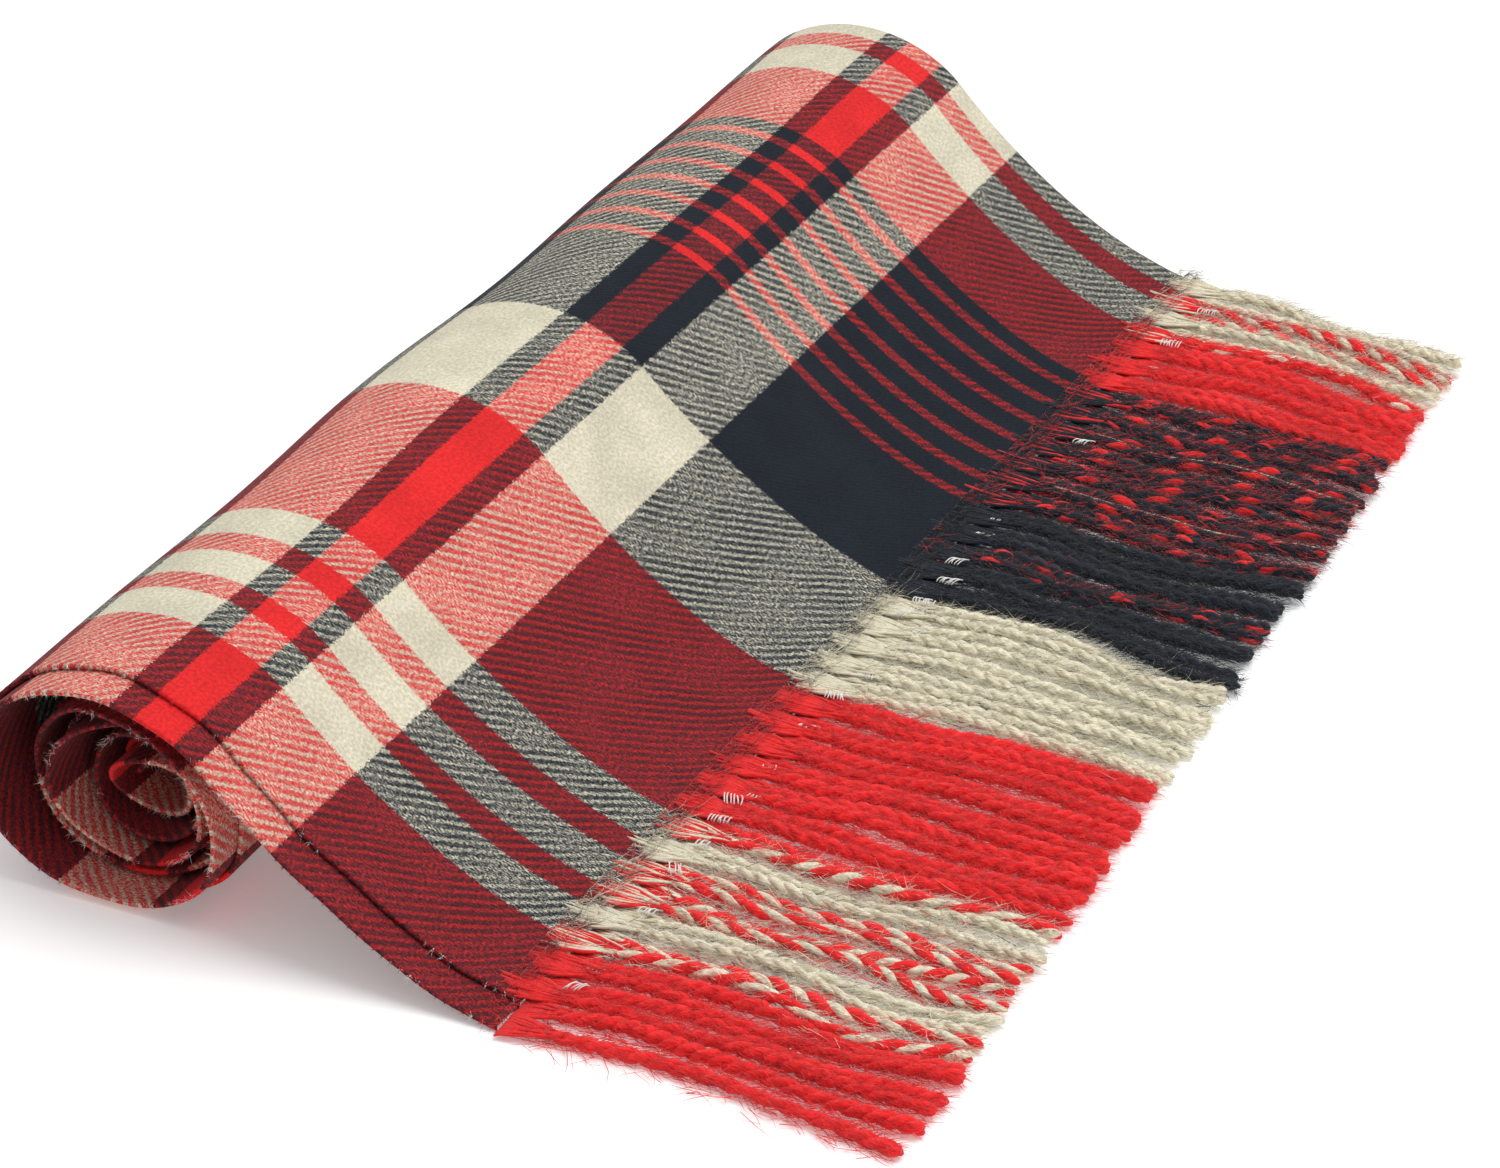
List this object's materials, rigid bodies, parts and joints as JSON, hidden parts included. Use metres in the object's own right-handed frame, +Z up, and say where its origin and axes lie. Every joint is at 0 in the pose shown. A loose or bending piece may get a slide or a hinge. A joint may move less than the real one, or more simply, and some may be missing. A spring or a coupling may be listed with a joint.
{
  "type": "throw blanket",
  "caption": "Plaid woven throw with a twisted fringe, folded in two along its length and loosely rolled up, its free end draped to the floor with the fringe spread.",
  "frame": {"origin": "middle of the underside of the whole throw as it lies", "axes": "+X along the roll from the selvedges to the fold, +Y from the free fringe towards the roll, +Z up"},
  "size_m": [0.658, 0.3958, 0.0967],
  "materials": {
    "plaid_twill": "brushed twill in red, cream and blue-black plaid",
    "red_yarn": "fuzzy two-ply twist",
    "cream_yarn": "fuzzy two-ply twist",
    "black_yarn": "fuzzy two-ply twist",
    "cream_red_yarn": "fuzzy two-ply twist of cream and red",
    "black_red_yarn": "fuzzy two-ply twist of blue-black and red",
    "lock_thread": "matt cream sewing thread"
  },
  "bodies": {
    "roll": {"core_fringe_lower": "cream_red_yarn", "core_fringe_upper": "cream_red_yarn", "roll_lower_leaf": "plaid_twill", "roll_upper_leaf": "plaid_twill"},
    "drape": {"drape_lower_leaf": "plaid_twill", "drape_upper_leaf": "plaid_twill", "lock_thread_lower": "lock_thread", "lock_thread_upper": "lock_thread"},
    "fringe": {"fringe_lower_black_red": "black_red_yarn", "fringe_lower_black_wide": "black_yarn", "fringe_lower_cream_fold": "cream_red_yarn", "fringe_lower_cream_red": "cream_red_yarn", "fringe_lower_cream_wide": "cream_yarn", "fringe_lower_red_edge": "red_yarn", "fringe_lower_red_fold": "red_yarn", "fringe_lower_red_wide": "red_yarn", "fringe_upper_black_red": "black_red_yarn", "fringe_upper_black_wide": "black_yarn", "fringe_upper_cream_fold": "cream_red_yarn", "fringe_upper_cream_red": "cream_red_yarn", "fringe_upper_cream_wide": "cream_yarn", "fringe_upper_red_edge": "red_yarn", "fringe_upper_red_fold": "red_yarn", "fringe_upper_red_wide": "red_yarn"}
  },
  "joints": [
    {"name": "drape_lift", "type": "hinge", "parent": "roll", "child": "drape", "pos_m": [0, 0.08938, 0.07767], "axis": [-1, 0, 0], "range_deg": [0, 35]},
    {"name": "fringe_lift", "type": "hinge", "parent": "drape", "child": "fringe", "pos_m": [0, -0.03395, 0.0068], "axis": [-1, 0, 0], "range_deg": [0, 90]}
  ]
}
